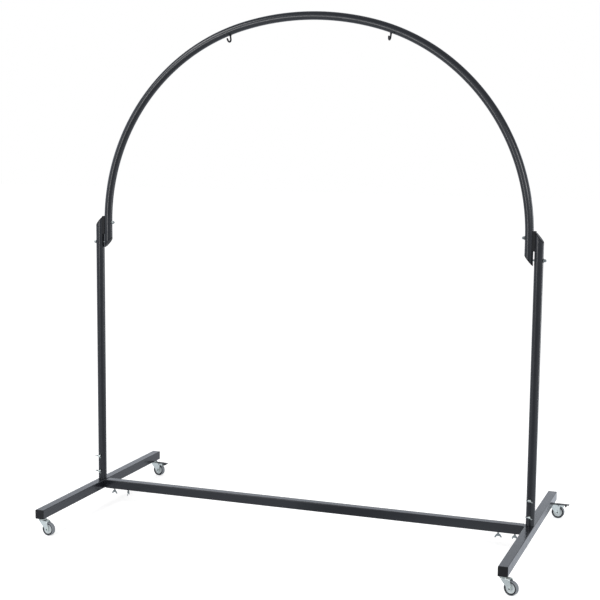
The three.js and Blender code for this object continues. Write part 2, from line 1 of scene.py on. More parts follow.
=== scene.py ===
import math

import bmesh
import bpy
from mathutils import Matrix, Vector


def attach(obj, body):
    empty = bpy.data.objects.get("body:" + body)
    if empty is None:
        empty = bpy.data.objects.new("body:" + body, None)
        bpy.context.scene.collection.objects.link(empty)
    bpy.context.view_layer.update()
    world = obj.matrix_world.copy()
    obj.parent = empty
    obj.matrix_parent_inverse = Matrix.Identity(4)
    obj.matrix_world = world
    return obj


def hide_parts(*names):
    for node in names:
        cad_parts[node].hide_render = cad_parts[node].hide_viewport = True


# A gong stand on wheels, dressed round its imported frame.
# Metres, +Z up, X from post to post, Y along the legs, the front towards -Y.
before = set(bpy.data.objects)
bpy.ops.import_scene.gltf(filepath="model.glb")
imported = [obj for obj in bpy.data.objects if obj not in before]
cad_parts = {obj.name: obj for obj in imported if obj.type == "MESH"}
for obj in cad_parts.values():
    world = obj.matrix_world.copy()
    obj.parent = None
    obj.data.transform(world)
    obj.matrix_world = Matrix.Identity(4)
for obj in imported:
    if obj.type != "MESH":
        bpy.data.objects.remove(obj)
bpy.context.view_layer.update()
print("frame loaded with", len(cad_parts), "nodes")

sides = {"left": -1, "right": 1}
standBody = "stand"

# The camera stands at the photograph's viewing angle
view = {
    "place": (2.0390, -5.7030, 1.8532), "azimuthDegrees": 19.945, "pitchDegrees": 7.408, "rollDegrees": 0.563,
    "lens": 79.83, "sensor": 36.0, "farthest": 200.0,
}


def addObject(name, data):
    added = bpy.data.objects.new(name, data)
    bpy.context.scene.collection.objects.link(added)
    return added


def placeCamera():
    azimuth, pitch, roll = (math.radians(view[name + "Degrees"]) for name in ("azimuth", "pitch", "roll"))
    flat = math.cos(pitch)
    forward = Vector((-math.sin(azimuth) * flat, math.cos(azimuth) * flat, -math.sin(pitch)))
    level = forward.cross(Vector((0, 0, 1))).normalized()
    above = level.cross(forward)
    right = level * math.cos(roll) + above * math.sin(roll)
    up = above * math.cos(roll) - level * math.sin(roll)
    lens = bpy.data.cameras.new("photoView")
    lens.lens = view["lens"]
    lens.sensor_width = view["sensor"]
    lens.clip_end = view["farthest"]
    camera = addObject("photoView", lens)
    axes = Matrix((right, up, -forward)).transposed().to_4x4()
    camera.matrix_world = Matrix.Translation(view["place"]) @ axes
    bpy.context.scene.camera = camera


placeCamera()
print("camera placed")


# The emptied node tree of a new material or world
def emptyTree(owner):
    owner.use_nodes = True
    owner.node_tree.nodes.clear()
    return owner.node_tree


# One node with its settings. An input is a value, a hex colour, a socket, or a node, which stands for its
# first output in use; a list of these goes to an input that joins them.
def addNode(tree, kind, inputs=None, **settings):
    node = tree.nodes.new(kind)
    for name, value in settings.items():
        setattr(node, name, value)
    for name, values in (inputs or {}).items():
        for value in values if isinstance(values, list) else [values]:
            if isinstance(value, bpy.types.Node):
                value = next(socket for socket in value.outputs if socket.enabled)
            if isinstance(value, bpy.types.NodeSocket):
                tree.links.new(value, node.inputs[name])
            else:
                node.inputs[name].default_value = linear(value) if isinstance(value, str) else value
    return node


# An sRGB hex colour as linear red, green, blue and alpha
def linear(text):
    shares = [int(text[i:i + 2], 16) / 255 for i in (1, 3, 5)]
    return [s / 12.92 if s <= 0.04045 else ((s + 0.055) / 1.055) ** 2.4 for s in shares] + [1.0]


# A noise pattern whose patches are about the given size in millimetres
def patches(tree, size, detail):
    place = addNode(tree, "ShaderNodeTexCoord").outputs["Object"]
    return addNode(tree, "ShaderNodeTexNoise", {"Vector": place, "Scale": 1000 / size, "Detail": detail})


# A surface that varies in patches. Colour, roughness and relief each start with the size of their
# patches in millimetres and their detail; then come two ends, and for the relief its depth in millimetres.
# The tread colour shows where the mesh's mark is 1.
def surface(name, color, roughness, relief, treadColor=None, metallic=0.0, ior=1.5):
    material = bpy.data.materials.new(name)
    tree = emptyTree(material)

    def mottled(size, detail, first, second):
        return addNode(tree, "ShaderNodeMix", {"Factor": patches(tree, size, detail), 6: first, 7: second},
                       data_type="RGBA")

    paint = mottled(*color)
    if treadColor:
        mark = addNode(tree, "ShaderNodeAttribute", attribute_name="tread").outputs["Fac"]
        paint = addNode(tree, "ShaderNodeMix", {"Factor": mark, 6: paint, 7: mottled(*treadColor)},
                        data_type="RGBA")
    size, detail, least, most = roughness
    rough = addNode(tree, "ShaderNodeMapRange", {  # most of the noise lies between 0.3 and 0.7
        "Value": patches(tree, size, detail), "From Min": 0.3, "From Max": 0.7,
        "To Min": least, "To Max": most})
    size, detail, depth = relief
    bump = addNode(tree, "ShaderNodeBump", {
        "Height": patches(tree, size, detail), "Strength": 1.0, "Distance": depth / 1000})
    body = addNode(tree, "ShaderNodeBsdfPrincipled", {
        "Base Color": paint, "Roughness": rough, "Normal": bump, "Metallic": metallic, "IOR": ior})
    addNode(tree, "ShaderNodeOutputMaterial", {"Surface": body})
    return material


# Polyester powder coat on steel tube, baked: a satin black with a soft orange-peel ripple; its slight blue
# cast is painted light, the blue of the room's light
powderCoat = surface(
    "powderCoatedSteel", color=(70, 2, "#15171b", "#1b1d22"),
    roughness=(45, 3, 0.19, 0.25), relief=(2.4, 1, 0.012), ior=1.46)

# Polyethylene push-in caps, moulded: a duller black with a fine spark-eroded grain
capPlastic = surface(
    "mouldedPolyethylene", color=(18, 2, "#09090b", "#0f0f11"),
    roughness=(9, 2, 0.48, 0.6), relief=(0.7, 2, 0.02), ior=1.36)

# Steel with bright zinc plate and a blue passivate: clear metal with cloudy patches
zincPlate = surface(
    "zincPlatedSteel", color=(7, 3, "#c2c9c6", "#d8dcd6"),
    roughness=(4, 3, 0.22, 0.36), relief=(0.9, 2, 0.006), metallic=1.0)

# Screws with a thick grey zinc plate: duller and darker than the pressed parts. On the wing screws under the
# crossbar, the same screws as on the posts, this darker zinc is painted shade
greyZincAndPaintedShade = surface(
    "greyZincPlatedSteel", color=(5, 3, "#7a8081", "#979c9a"),
    roughness=(3, 3, 0.30, 0.44), relief=(0.7, 2, 0.008), metallic=1.0)

# Steel blackened in an oil bath: dark, slightly metallic, with oily patches. The hooks are of it; on the disc
# in the axle's hollow end it is painted shade
blackenedSteel = surface(
    "blackenedSteel", color=(10, 3, "#1a1a1c", "#27272a"),
    roughness=(6, 2, 0.34, 0.48), relief=(0.8, 2, 0.01), metallic=0.7)

# Polypropylene wheel bodies, moulded: light grey, slightly waxy
wheelPlastic = surface(
    "mouldedPolypropylene", color=(12, 2, "#c2cacd", "#ced5d7"),
    roughness=(8, 2, 0.36, 0.46), relief=(1.1, 2, 0.01))

# Glass-filled nylon pedal covers, moulded: black with a faint speckle
pedalNylon = surface(
    "mouldedNylon", color=(2.5, 3, "#0f0f11", "#19191b"),
    roughness=(6, 2, 0.40, 0.54), relief=(0.6, 2, 0.02))

# Thermoplastic rubber tyres, grey on shoulders and tread; the ring sunk at the rim is near black, painted
# shade of its recess
tyreRubber = surface(
    "thermoplasticRubber", color=(6, 2, "#060809", "#0c0f10"),
    treadColor=(5, 4, "#70757a", "#888c92"), roughness=(5, 2, 0.62, 0.8), relief=(0.8, 2, 0.03))
print("materials ready")


# Edges are bevelled, or stay sharp in the shading, from these angles up
edgeLimits = {"bevelledDegrees": 35, "shownDegrees": 34}


# Several sizes of a piece at once
def pick(sizes, names):
    return [sizes[name] for name in names.split()]


# Meshes from rings of points, each with the same count, closed at both ends or round in a loop
def skin(rings, loop=False, marks=None):
    count = len(rings[0])
    mesh = bpy.data.meshes.new("shape")
    faces = []
    for place in range(len(rings) if loop else len(rings) - 1):
        here, there = place * count, (place + 1) % len(rings) * count
        for i in range(count):
            j = (i + 1) % count
            faces.append((here + i, here + j, there + j, there + i))
    if not loop:
        last = (len(rings) - 1) * count
        faces += [tuple(range(count))[::-1], tuple(range(last, last + count))]
    mesh.from_pydata([point for ring in rings for point in ring], [], faces)
    if marks:
        layer = mesh.attributes.new("tread", "FLOAT", "POINT")
        layer.data.foreach_set("value", [mark for mark in marks for _ in range(count)])
    return facingOut(mesh)


def facingOut(mesh, bevel=0.0, steps=3):
    shape = bmesh.new()
    shape.from_mesh(mesh)
    bmesh.ops.recalc_face_normals(shape, faces=shape.faces)
    if bevel:
        limit = math.radians(edgeLimits["bevelledDegrees"])
        sharp = [edge for edge in shape.edges if edge.calc_face_angle(0) > limit]
        bmesh.ops.bevel(shape, geom=sharp, offset=bevel, segments=steps, profile=0.5, affect="EDGES",
                        clamp_overlap=True)
        bmesh.ops.recalc_face_normals(shape, faces=shape.faces)
    shape.to_mesh(mesh)
    shape.free()
    return mesh


def circle(radius, height, sides, slope=0.0, across=None):
    ring = []
    for i in range(sides):
        angle = 2 * math.pi * i / sides
        reach = radius
        if across:  # a hexagon whose corners are cut back to the radius
            away = (angle + math.pi / 6) % (math.pi / 3) - math.pi / 6
            reach = min(radius, across / 2 / math.cos(away))
        x = reach * math.cos(angle)
        ring.append((x, reach * math.sin(angle), height + slope * x))
    return ring


# Turned round Z from (radius, height) or (radius, height, size across a hexagon)
def turned(profile, sides=72, loop=False, slope=0.0, marks=None):
    rings = [circle(radius, height, sides, slope, *across) for radius, height, *across in profile]
    return skin(rings, loop, marks)


# A turned ring round a bore, its outer edges eased
def collar(bore, radius, low, high, sides=72, ease=0.0003):
    return turned([(bore, low), (radius - ease, low), (radius, low + ease), (radius, high - ease),
                   (radius - ease, high), (bore, high)], sides, loop=True)


# A square outline with round corners; points just inside the flats keep those shading flat
def square(half, corner, height, steps=8, brace=0.0004):
    ring = []
    reach = half - corner
    for quarter, (x, y) in enumerate(((1, 1), (-1, 1), (-1, -1), (1, -1))):
        start = quarter * math.pi / 2
        for i in range(-1, steps + 2):
            angle = start + math.pi / 2 * min(max(i, 0), steps) / steps
            extra = brace if i > steps else -brace if i < 0 else 0.0
            ring.append((x * reach + corner * math.cos(angle) - extra * math.sin(angle),
                         y * reach + corner * math.sin(angle) + extra * math.cos(angle), height))
    return ring


def prism(outline, low, high, bevel=0.0, steps=3):
    mesh = skin([[(x, y, low) for x, y in outline], [(x, y, high) for x, y in outline]])
    return facingOut(mesh, bevel, steps) if bevel else mesh


def arc(x, y, radius, fromDegrees, toDegrees, steps):
    angles = [math.radians(fromDegrees + (toDegrees - fromDegrees) * i / steps) for i in range(steps + 1)]
    return [(x + radius * math.cos(a), y + radius * math.sin(a)) for a in angles]


def placed(mesh, *moves):
    for move in moves:
        mesh.transform(move)
    return mesh


def turn(axis, degrees):
    return Matrix.Rotation(math.radians(degrees), 4, axis)


def shift(x, y, z):
    return Matrix.Translation((x, y, z))


# A piece in place of a CAD node, named after it: several meshes as one object at the origin, with soft
# normals between its sharp edges. A piece that stands for no node has None there, and a name.
def makePiece(node, meshes, material, moves=(), body=standBody, name=None):
    first, *rest = (node or name).split("_")
    name = name or first + "".join(word.capitalize() for word in rest)
    shape = bmesh.new()
    for mesh in meshes:
        shape.from_mesh(placed(mesh, *moves))
        bpy.data.meshes.remove(mesh)
    joined = bpy.data.meshes.new(name)
    shape.to_mesh(joined)
    shape.free()
    joined.materials.clear()
    joined.materials.append(material)
    joined.polygons.foreach_set("material_index", [0] * len(joined.polygons))
    joined.shade_smooth()
    joined.set_sharp_from_angle(angle=math.radians(edgeLimits["shownDegrees"]))
    piece = addObject(name, joined)
    piece.modifiers.new("normals", "WEIGHTED_NORMAL").keep_sharp = True
    bakeModifiers(piece)
    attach(piece, body)
    if node:
        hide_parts(node)


def bakeModifiers(piece):
    ready = piece.evaluated_get(bpy.context.evaluated_depsgraph_get())
    mesh = bpy.data.meshes.new_from_object(ready)
    piece.modifiers.clear()
    piece.data = mesh


# A Geometry Nodes tree with an input for each named size of a piece
def startTree(name, sizes, keys):
    tree = bpy.data.node_groups.new(name, "GeometryNodeTree")
    for way in ("INPUT", "OUTPUT"):
        tree.interface.new_socket("Geometry", in_out=way, socket_type="NodeSocketGeometry")
    for key in keys.split():
        kind = "NodeSocketInt" if isinstance(sizes[key], int) else "NodeSocketFloat"
        tree.interface.new_socket(key, in_out="INPUT", socket_type=kind).default_value = sizes[key]
    return tree, addNode(tree, "NodeGroupInput").outputs


def endTree(tree, geometry, material):
    real = addNode(tree, "GeometryNodeRealizeInstances", {"Geometry": geometry})
    coated = addNode(tree, "GeometryNodeSetMaterial", {"Geometry": real, "Material": material})
    addNode(tree, "NodeGroupOutput", {"Geometry": coated})
    return tree


# A round tube or rod along a line, closed at its ends
def rodAlong(tree, line, sides, radius):
    ring = addNode(tree, "GeometryNodeCurvePrimitiveCircle", {"Resolution": sides, "Radius": radius})
    return addNode(tree, "GeometryNodeCurveToMesh", {"Curve": line, "Profile Curve": ring, "Fill Caps": True})


# The plain mesh that a tree grows from a base mesh at the given sizes
def grow(tree, sizes, start=None):
    piece = addObject(tree.name, start or bpy.data.meshes.new(tree.name))
    modifier = piece.modifiers.new(tree.name, "NODES")
    modifier.node_group = tree
    for item in tree.interface.items_tree:
        if item.in_out == "INPUT" and item.name in sizes:
            modifier[item.identifier] = sizes[item.name]
    bakeModifiers(piece)
    mesh = piece.data
    bpy.data.objects.remove(piece)
    return mesh


# Lines of points as a base mesh, each a path or a closed loop
def pathMesh(paths, loop=False):
    points, edges = [], []
    for path in paths:
        start = len(points)
        points += path
        edges += [(start + i, start + i + 1) for i in range(len(path) - 1)]
        if loop:
            edges.append((len(points) - 1, start))
    mesh = bpy.data.meshes.new("paths")
    mesh.from_pydata(points, edges, [])
    return mesh


# Base of square tube, with the two spigots that are welded to each leg
base = {
    "tube": 0.042, "corner": 0.003, "wall": 0.002, "top": 0.120, "middle": 0.099,
    "legLength": 1.200, "capPlate": 0.004, "capGap": 0.0003, "capEdge": 0.0012,
    "postX": 1.060, "crossbarGap": 0.008, "spigotRadius": 0.0177, "spigotLength": 0.150,
    "spigotGap": 0.0003, "spigotCorner": 0.001, "spigotSink": 0.0005, "capInsert": 0.014, "casterY": 0.570,
}


def squareTube(half, corner, wall, low, high, edge=0.0002):
    inside, inner = half - wall, max(corner - wall, 0.0005)
    rings = [square(half - edge, corner, low), square(half, corner, low + edge),
             square(half, corner, high - edge), square(half - edge, corner, high),
             square(inside, inner, high), square(inside, inner, low)]
    return skin(rings, loop=True)


def roundTube(radius, wall, low, high, slope=0.0, sides=96, edge=0.0002):
    rings = [circle(radius - edge, low, sides), circle(radius, low + edge, sides),
             circle(radius, high - edge, sides, slope), circle(radius - edge, high, sides, slope),
             circle(radius - wall, high, sides, slope), circle(radius - wall, low, sides)]
    return skin(rings, loop=True)


def makeBase():
    half, wall = base["tube"] / 2, base["wall"]
    tubeEnd = base["legLength"] / 2 - base["capPlate"]
    inside = half - wall - base["spigotGap"]
    root = half - base["spigotSink"]
    for word, side in sides.items():
        leg = placed(squareTube(half, base["corner"], wall, -tubeEnd, tubeEnd), turn("X", -90))
        postSpigot = roundTube(base["spigotRadius"], wall, root, half + base["spigotLength"])
        reach = half + base["crossbarGap"] + base["spigotLength"]
        barSpigot = placed(squareTube(inside, base["spigotCorner"], wall, root, reach), turn("Y", -90 * side))
        at = shift(side * base["postX"], 0, base["middle"])
        makePiece(f"{word}_leg", [leg, postSpigot, barSpigot], powderCoat, [at])
        for end, facing in (("front", 1), ("back", -1)):
            makePiece(f"{word}_leg_{end}_cap", [legPlug(half, tubeEnd, inside)], capPlastic,
                      [turn("X", 90 * facing), at])
    barEnd = base["postX"] - half - base["crossbarGap"]
    bar = placed(squareTube(half, base["corner"], wall, -barEnd, barEnd), turn("Y", 90))
    bosses = [placed(wingBoss(), shift(0, 0, half), turn("X", 180), shift(side * wingX(place), 0, 0))
              for side in sides.values() for place in wing["places"].values()]
    makePiece("crossbar", [bar] + bosses, powderCoat, [shift(0, 0, base["middle"])])


# A push-in cap: a plate with an eased edge and a faint crown, and its insert in the tube
def legPlug(half, tubeEnd, inside):
    corner, edge, insertCorner = base["corner"], base["capEdge"], base["spigotCorner"]
    start, end = tubeEnd + base["capGap"], tubeEnd + base["capPlate"]
    rings = [square(inside, insertCorner, tubeEnd - base["capInsert"]), square(inside, insertCorner, start),
             square(half - 0.0002, corner, start), square(half, corner, start + 0.0002)]
    for i in range(6):
        angle = math.pi / 2 * i / 5
        inset = edge * (1 - math.cos(angle))
        rings.append(square(half - inset, corner - inset * 0.6, end - 0.0003 - edge * (1 - math.sin(angle))))
    rings += [square(half * 0.6, corner * 0.6, end - 0.0001), square(half * 0.2, corner * 0.2, end)]
    return skin(rings)


# Wing screws: places from the joint of the tubes, and the turn at which each stands
wing = {
    "places": {"near": 0.045, "far": 0.120},
    "postTurns": {"left": {"near": -24, "far": -17}, "right": {"near": -15, "far": -13}},
    "barTurns": {"left": {"near": 12, "far": 80}, "right": {"near": 25, "far": -18}},
    "bossRadius": 0.007, "bossHeight": 0.005, "bossBore": 0.0033, "bossSink": 0.001,
    "neck": 0.006, "shank": 0.0029, "shankInside": 0.007, "hub": 0.0055, "hubHeight": 0.008,
    "span": 0.033, "height": 0.0195, "rootThickness": 0.0034, "tipThickness": 0.0022,
    "threadRadius": 0.003, "threadPitch": 0.001, "threadTurns": 11.0, "threadDepth": 0.00035,
    # half of the outline of the wings, as shares of half the span and of the height
    "outline": [(0.3, 0.0), (0.62, 0.2), (0.94, 0.6), (1.0, 0.84), (0.9, 1.0), (0.72, 0.97), (0.5, 0.72),
                (0.3, 0.6)],
}


def wingX(place):
    return base["postX"] - base["tube"] / 2 - place


def wingBoss():
    radius, height, bore, sink = pick(wing, "bossRadius bossHeight bossBore bossSink")
    return turned([(bore, -sink), (radius, -sink), (radius, height - 0.0005), (radius - 0.0005, height),
                   (bore + 0.0003, height), (bore, height - 0.0003)], 48, loop=True)


# Corner cutting rounds an outline as a casting would be
def softened(outline, rounds):
    for _ in range(rounds):
        cut = []
        for (ax, ay), (bx, by) in zip(outline, outline[1:] + outline[:1]):
            cut += [(ax * near + bx * (1 - near), ay * near + by * (1 - near)) for near in (0.75, 0.25)]
        outline = cut
    return outline


def wingScrewMesh():
    span, root, tip = pick(wing, "span rootThickness tipThickness")
    half = [(x * span / 2, z * wing["height"]) for x, z in wing["outline"]]
    outline = softened(half + [(-x, z) for x, z in reversed(half)], 2)
    blades = prism(outline, -0.5, 0.5)
    for corner in blades.vertices:  # thick at the hub, thin at the tips
        x, z, across = corner.co
        share = min(abs(x) / (span / 2), 1.0)
        thickness = root * (1 - share) + tip * share
        corner.co = (x, -across * thickness, z)
    facingOut(blades, 0.0008, 3)
    top, hub, shank = pick(wing, "hubHeight hub shank")
    body = turned([(0.0028, 0.0), (hub - 0.0006, 0.0), (hub, 0.0006), (hub, top - 0.0016),
                   (hub - 0.0006, top - 0.0005), (hub - 0.0018, top), (0.0004, top + 0.0002)], 48)
    low = -wing["neck"] - wing["shankInside"]
    core = turned([(shank - 0.0006, low), (shank - 0.0003, low + 0.0005), (shank - 0.0003, 0.001)], 32)
    return [blades, body, core]


# Geometry Nodes: the thread on a shank, one ridge wound round it
def threadTree():
    tree, sizes = startTree("screwThread", wing, "threadRadius threadPitch threadTurns threadDepth")
    pitch, turns, depth = pick(sizes, "threadPitch threadTurns threadDepth")
    height = addNode(tree, "ShaderNodeMath", {0: pitch, 1: turns}, operation="MULTIPLY")
    core = addNode(tree, "ShaderNodeMath", {0: sizes["threadRadius"], 1: depth}, operation="SUBTRACT")
    helix = addNode(tree, "GeometryNodeCurveSpiral", {
        "Resolution": 28, "Rotations": turns, "Start Radius": core, "End Radius": core, "Height": height})
    return endTree(tree, rodAlong(tree, helix, 4, depth), greyZincAndPaintedShade)


def makeWingScrews():
    thread = threadTree()
    threadLow = -wing["threadTurns"] * wing["threadPitch"]
    clearOfTube = base["tube"] / 2 + wing["bossHeight"] + wing["neck"]
    for word, side in sides.items():
        for place, distance in wing["places"].items():
            onPost = [turn("Z", wing["postTurns"][word][place]), turn("X", 90),
                      shift(side * base["postX"], 0, base["top"] + distance)]
            underBar = [turn("Z", wing["barTurns"][word][place]), turn("X", 180),
                        shift(side * wingX(distance), 0, base["middle"])]
            # The wing screws under the crossbar get the darker zinc as painted shade; those on the posts get
            # the bright zinc
            for where, moves, plate in (("post", onPost, zincPlate), ("crossbar", underBar, greyZincAndPaintedShade)):
                node = f"{word}_{where}_wing_screw_{place}"
                ridge = placed(grow(thread, wing), shift(0, 0, threadLow))
                makePiece(node, wingScrewMesh() + [ridge], plate, [shift(0, 0, clearOfTube)] + moves, node)


# Posts with slanted tops, and the caps on the slants of posts and arch
post = {"radius": 0.020, "wall": 0.002, "height": 1.300, "foot": 0.0003, "slantDegrees": 50.0}
slantCap = {
    "thickness": 0.003, "gap": 0.0003, "insert": 0.006, "edge": 0.0007, "postInsertRadius": 0.0177,
    "archInsertRadius": 0.0167,
}


def slantRise():
    return math.tan(math.radians(post["slantDegrees"]))


def upright(thickness):
    return thickness / math.cos(math.radians(post["slantDegrees"]))


# A cap flush with its tube: inwards is the way into the tube, -1 down or 1 up
def slantCapMesh(radius, insertRadius, slope, inwards):
    thick, edge = upright(slantCap["thickness"]), slantCap["edge"]
    deep = thick + upright(slantCap["insert"])
    profile = [(insertRadius, deep), (insertRadius, thick), (radius - 0.0002, thick),
               (radius, thick - 0.0003), (radius, edge)]
    for i in range(1, 6):
        angle = math.pi / 2 * i / 5
        profile.append((radius - edge * (1 - math.cos(angle)), edge * (1 - math.sin(angle))))
    profile.append((0.001, 0.0))
    return turned([(r, inwards * z) for r, z in profile], 96, slope=slope)


def makePosts():
    for word, side in sides.items():
        slope = -side * slantRise()
        slantTop = post["height"] - slantRise() * post["radius"]
        tubeTop = slantTop - upright(slantCap["thickness"] + slantCap["gap"])
        tube = roundTube(post["radius"], post["wall"], post["foot"], tubeTop, slope)
        bosses = [placed(wingBoss(), shift(0, 0, post["radius"]), turn("X", 90), shift(0, 0, place))
                  for place in wing["places"].values()]
        at = shift(side * base["postX"], 0, base["top"])
        makePiece(f"{word}_post", [tube] + bosses, powderCoat, [at])
        cap = slantCapMesh(post["radius"], slantCap["postInsertRadius"], slope, -1)
        makePiece(f"{word}_post_cap", [cap], capPlastic, [shift(0, 0, slantTop), at])


# The arch: two upright ends, two shoulders and a flatter top
arch = {
    "radius": 0.019, "halfSpan": 1.016, "endHeight": 1.268, "springHeight": 1.392,
    "shoulderRadius": 0.946, "shoulderAngle": math.radians(75), "sides": 72, "shoulderSteps": 72,
    "topSteps": 36, "mergeWithin": 0.0001,
}


# Geometry Nodes: the arch's line from its sizes, and the tube along it
def archTree():
    names = "halfSpan endHeight springHeight shoulderRadius shoulderAngle shoulderSteps"
    tree, sizes = startTree("archTube", arch, names + " topSteps mergeWithin radius sides")
    halfSpan, endHeight, spring, radius, angle, steps = pick(sizes, names)
    centre = addNode(tree, "ShaderNodeMath", {0: halfSpan, 1: radius}, operation="SUBTRACT")
    leftCentre = addNode(tree, "ShaderNodeMath", {0: centre, 1: -1.0}, operation="MULTIPLY")
    leftStart = addNode(tree, "ShaderNodeMath", {0: math.pi, 1: angle}, operation="SUBTRACT")
    cosine = addNode(tree, "ShaderNodeMath", {0: angle}, operation="COSINE")
    away = addNode(tree, "ShaderNodeMath", {0: centre, 1: cosine}, operation="DIVIDE")
    topRadius = addNode(tree, "ShaderNodeMath", {0: radius, 1: away}, operation="ADD")
    tangent = addNode(tree, "ShaderNodeMath", {0: angle}, operation="TANGENT")
    drop = addNode(tree, "ShaderNodeMath", {0: centre, 1: tangent}, operation="MULTIPLY")
    topCentre = addNode(tree, "ShaderNodeMath", {0: spring, 1: drop}, operation="SUBTRACT")
    bothAngles = addNode(tree, "ShaderNodeMath", {0: angle, 1: 2.0}, operation="MULTIPLY")
    topSweep = addNode(tree, "ShaderNodeMath", {0: math.pi, 1: bothAngles}, operation="SUBTRACT")

    def bow(radius, start, angle, steps, x, z):
        bent = addNode(tree, "GeometryNodeCurveArc", {
            "Resolution": steps, "Radius": radius, "Start Angle": start, "Sweep Angle": angle}, mode="RADIUS")
        place = addNode(tree, "ShaderNodeCombineXYZ", {"X": x, "Z": z})
        return addNode(tree, "GeometryNodeTransform", {
            "Geometry": bent, "Translation": place, "Rotation": (math.pi / 2, 0.0, 0.0)})

    def riser(side):
        x = addNode(tree, "ShaderNodeMath", {0: halfSpan, 1: float(side)}, operation="MULTIPLY")
        low, high = (addNode(tree, "ShaderNodeCombineXYZ", {"X": x, "Z": z}) for z in (endHeight, spring))
        return addNode(tree, "GeometryNodeCurvePrimitiveLine", {"Start": low, "End": high})

    joined = addNode(tree, "GeometryNodeJoinGeometry", {"Geometry": [
        riser(-1), riser(1), bow(radius, 0.0, angle, steps, centre, spring),
        bow(radius, leftStart, angle, steps, leftCentre, spring),
        bow(topRadius, angle, topSweep, sizes["topSteps"], 0.0, topCentre)]})
    lines = addNode(tree, "GeometryNodeCurveToMesh", {"Curve": joined})
    merged = addNode(tree, "GeometryNodeMergeByDistance", {
        "Geometry": lines, "Distance": sizes["mergeWithin"]})
    line = addNode(tree, "GeometryNodeMeshToCurve", {"Mesh": merged})
    return endTree(tree, rodAlong(tree, line, sizes["sides"], sizes["radius"]), powderCoat)


# The height of the arch's line over a place beside its middle, on the flatter top or on a shoulder
def archHeight(x):
    spring, radius, angle = pick(arch, "springHeight shoulderRadius shoulderAngle")
    centre = arch["halfSpan"] - radius
    if x < centre + radius * math.cos(angle):
        topRadius = radius + centre / math.cos(angle)
        return spring - centre * math.tan(angle) + math.sqrt(topRadius ** 2 - x ** 2)
    return spring + math.sqrt(radius ** 2 - (x - centre) ** 2)


def makeArch():
    tube = grow(archTree(), arch)
    capRise = upright(slantCap["thickness"] + slantCap["gap"])
    radius, halfSpan, endHeight = pick(arch, "radius halfSpan endHeight")
    for corner in tube.vertices:  # the end rings lie along the slant, above their caps
        if corner.co.z < endHeight + arch["mergeWithin"]:
            corner.co.z = endHeight + capRise + slantRise() * (halfSpan + radius - abs(corner.co.x))
    makePiece("arch", [facingOut(tube)], powderCoat)
    for word, side in sides.items():
        cap = slantCapMesh(radius, slantCap["archInsertRadius"], -side * slantRise(), 1)
        makePiece(f"{word}_arch_cap", [cap], capPlastic,
                  [shift(side * halfSpan, 0, endHeight + slantRise() * radius)])


# The joint between post and arch: a saddle spacer and two flanged screws with domed heads
joint = {
    "spacerTop": 1.4196, "spacerHeight": 0.087, "spacerWidth": 0.026, "spacerGap": 0.0003,
    "spacerEdge": 0.0016, "upperHeight": 1.389, "upperBeyond": 0.003, "lowerHeight": 1.294,
    "lowerBeyond": 0.005, "flange": 0.009, "flangeHeight": 0.002, "across": 0.013, "corner": 0.0083,
    "headHeight": 0.006, "dome": 0.0055, "shank": 0.004, "seat": 0.0003,
}


def spacerOutline():
    half = joint["spacerWidth"] / 2
    archReach = arch["radius"] + joint["spacerGap"]
    postReach = post["radius"] + joint["spacerGap"]
    archAngle = math.degrees(math.asin(half / archReach))
    postAngle = math.degrees(math.asin(half / postReach))
    archSide = arc(arch["halfSpan"], 0, archReach, archAngle, -archAngle, 14)
    postSide = arc(base["postX"], 0, postReach, 180 + postAngle, 180 - postAngle, 14)
    return archSide + postSide


def jointScrewMesh(length):
    flange, across, corner, shank, dome, low = pick(joint, "flange across corner shank dome flangeHeight")
    top = low + joint["headHeight"]
    profile = [(shank, -length), (shank, 0.0), (flange - 0.0003, 0.0), (flange, 0.0003),
               (flange, low - 0.0008), (flange - 0.0004, low - 0.0003), (flange - 0.0014, low),
               (corner, low, across), (corner, top - 0.0006, across), (corner - 0.0009, top - 0.0001, across),
               (corner - 0.0020, top, across), (dome, top + 0.0002)]
    for i in range(1, 10):
        angle = math.pi / 2 * i / 9.3
        profile.append((dome * math.cos(angle), top + 0.0002 + dome * 0.97 * math.sin(angle)))
    return turned(profile)


# The screws' heads: the upper one inside the arch, the lower one outside the post
def makeJoints():
    inside, outside = arch["halfSpan"] - arch["radius"], base["postX"] + post["radius"]
    upperLength = base["postX"] - post["radius"] + post["wall"] + joint["upperBeyond"] - inside
    lowerLength = outside - arch["halfSpan"] - arch["radius"] + joint["lowerBeyond"]
    low, high = joint["spacerTop"] - joint["spacerHeight"], joint["spacerTop"]
    for word, side in sides.items():
        makePiece(f"{word}_spacer", [prism(spacerOutline(), low, high, joint["spacerEdge"])], capPlastic,
                  [turn("Z", 180)] if side < 0 else [])
        for place, length, x, degrees in (("upper", upperLength, inside - joint["seat"], -90),
                                          ("lower", lowerLength, outside + joint["seat"], 90)):
            makePiece(f"{word}_{place}_joint_screw", [jointScrewMesh(length)], greyZincAndPaintedShade,
                      [turn("Y", degrees * side), shift(side * x, 0, joint[place + "Height"])])


# Hooks under the arch, each a bent rod with a round tip
hook = {
    "x": 0.384, "rod": 0.004, "sides": 32, "start": -0.010, "shank": 0.017, "bend": 0.013,
    "bendDegrees": 155, "bendSteps": 40, "tip": 0.006, "leanDegrees": 7, "turns": {"left": -12, "right": 0},
    "weldReach": 0.0066, "weldFall": 0.0045, "weldSink": 0.0012, "weldRows": 8,
}


